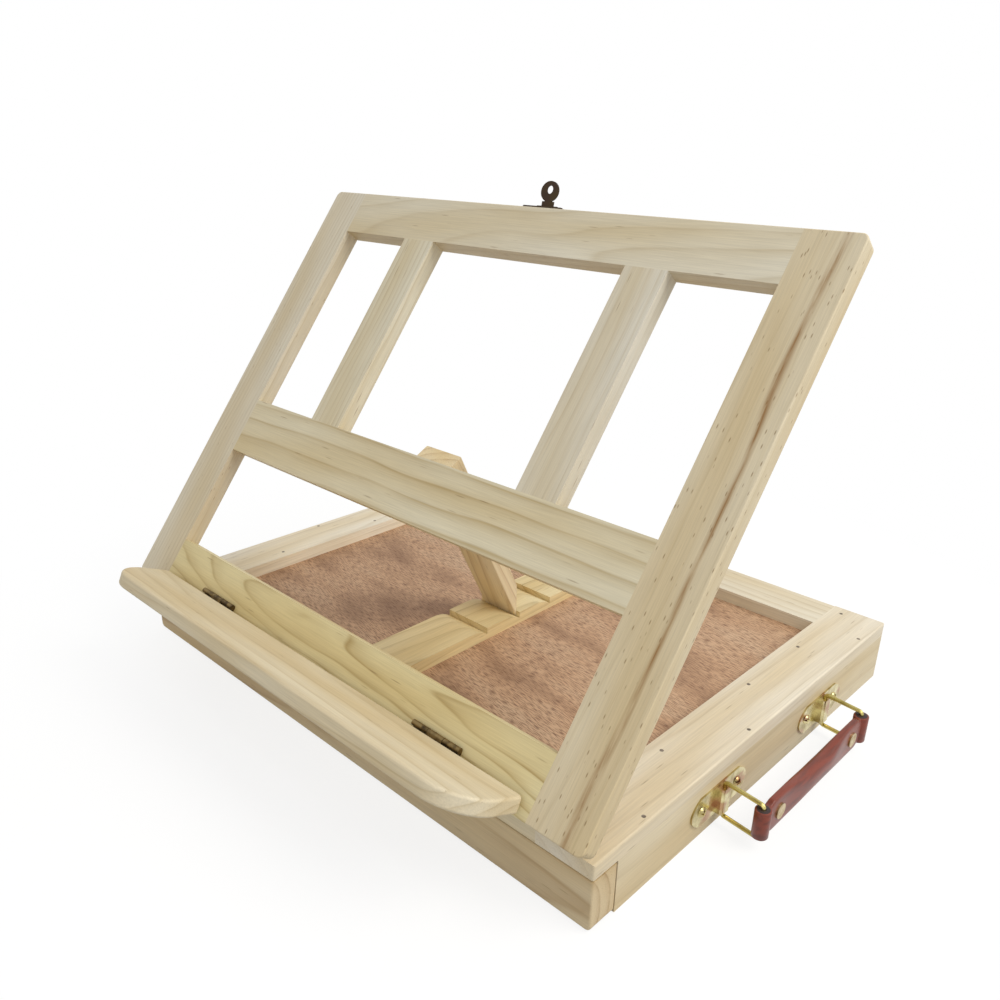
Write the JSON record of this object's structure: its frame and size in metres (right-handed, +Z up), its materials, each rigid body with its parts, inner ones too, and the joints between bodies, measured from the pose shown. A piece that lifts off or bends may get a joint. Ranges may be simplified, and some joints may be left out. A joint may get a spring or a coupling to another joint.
{
  "type": "table box easel",
  "caption": "Pine table easel: a tilting slatted frame with a fold-down ledge, held by a ratchet prop, on a shallow drawer box with a side carrying handle.",
  "frame": {"origin": "The middle of the underside of the box, on the face that stands on the table.", "axes": "X runs along the front, to the side with the handle. Y runs from the drawer front to the back. Z is up."},
  "size_m": [0.4314, 0.363, 0.309],
  "materials": {
    "pine_boards": "planed and lacquered pine",
    "drawer_pine": "planed pine, unfinished",
    "plywood": "thin reddish plywood",
    "nail_steel": "dull steel nail heads",
    "antique_brass": "dark antique brass plated hinges",
    "dark_bronze": "dark bronze hasp",
    "yellow_zinc": "bright brass plated steel",
    "brown_grip": "smooth red-brown grip"
  },
  "bodies": {
    "box": {"left_side_wall": "pine_boards", "right_side_wall": "pine_boards", "back_wall": "pine_boards", "bottom_panel": "plywood", "left_top_rail": "pine_boards", "right_top_rail": "pine_boards", "front_top_rail": "pine_boards", "back_top_rail": "pine_boards", "top_panel": "plywood", "ratchet_board": "pine_boards", "top_nails": "nail_steel", "frame_hinge_box_leaves": "antique_brass", "frame_hinge_pins": "antique_brass", "frame_hinge_box_screws": "antique_brass", "handle_plates": "yellow_zinc", "handle_screws": "yellow_zinc", "hasp_catch": "dark_bronze", "hasp_catch_nails": "nail_steel"},
    "drawer": {"drawer_front": "pine_boards", "drawer_left_side": "drawer_pine", "drawer_right_side": "drawer_pine", "drawer_back": "drawer_pine", "drawer_bottom": "plywood", "drawer_long_divider": "drawer_pine", "drawer_cross_dividers": "drawer_pine"},
    "easel_frame": {"left_stile": "pine_boards", "right_stile": "pine_boards", "top_rail": "pine_boards", "middle_rail": "pine_boards", "bottom_rail": "pine_boards", "left_muntin": "pine_boards", "right_muntin": "pine_boards", "frame_hinge_frame_leaves": "antique_brass", "frame_hinge_frame_screws": "antique_brass", "ledge_hinge_frame_leaves": "antique_brass", "ledge_hinge_pins": "antique_brass", "ledge_hinge_frame_screws": "antique_brass", "prop_hinge_rail_leaf": "antique_brass", "prop_hinge_pin": "antique_brass", "prop_hinge_rail_screws": "antique_brass", "hasp_plate": "dark_bronze", "hasp_pin": "dark_bronze", "hasp_nails": "nail_steel"},
    "ledge": {"ledge_shelf": "pine_boards", "ledge_hinge_ledge_leaves": "antique_brass", "ledge_hinge_ledge_screws": "antique_brass"},
    "prop": {"prop_leg": "pine_boards", "prop_hinge_leg_leaf": "antique_brass", "prop_hinge_leg_screws": "antique_brass"},
    "hasp": {"hasp_lever": "dark_bronze"},
    "front_bail": {"handle_front_bail": "yellow_zinc"},
    "rear_bail": {"handle_rear_bail": "yellow_zinc"},
    "grip": {"handle_grip": "brown_grip", "grip_rivets": "yellow_zinc"}
  },
  "joints": [
    {"name": "drawer_slide", "type": "slide", "parent": "box", "child": "drawer", "axis": [0, -1, 0], "range_m": [0, 0.235]},
    {"name": "frame_tilt_hinge", "type": "hinge", "parent": "box", "child": "easel_frame", "pos_m": [0, -0.156, 0.04155], "axis": [1, 0, 0], "range_deg": [0, 37.8]},
    {"name": "prop_swing", "type": "hinge", "parent": "easel_frame", "child": "prop", "pos_m": [0, -0.06803, 0.15537], "axis": [1, 0, 0], "range_deg": [-34.52, 0]},
    {"name": "ledge_fold", "type": "hinge", "parent": "easel_frame", "child": "ledge", "pos_m": [0, -0.15883, 0.06083], "axis": [1, 0, 0], "range_deg": [-102.8, 0]},
    {"name": "hasp_turn", "type": "hinge", "parent": "easel_frame", "child": "hasp", "pos_m": [-0.002, 0.03075, 0.29332], "axis": [1, 0, 0], "range_deg": [-114, 56]},
    {"name": "front_bail_swing", "type": "hinge", "parent": "box", "child": "front_bail", "pos_m": [0.2032, -0.0483, 0.0165], "axis": [0, 0, 1], "range_deg": [-54, 66]},
    {"name": "rear_bail_swing", "type": "hinge", "parent": "box", "child": "rear_bail", "pos_m": [0.2032, 0.0667, 0.0165], "axis": [0, 0, 1], "range_deg": [-54, 66]},
    {"name": "grip_swing", "type": "hinge", "parent": "front_bail", "child": "grip", "pos_m": [0.22667, -0.05077, 0.0165], "axis": [0, 0, 1], "range_deg": [-66, 54]}
  ],
  "couplings": [
    {"joint": "prop_swing", "follows": "frame_tilt_hinge", "ratio": -0.9},
    {"joint": "rear_bail_swing", "follows": "front_bail_swing", "ratio": 1},
    {"joint": "grip_swing", "follows": "front_bail_swing", "ratio": -1}
  ]
}
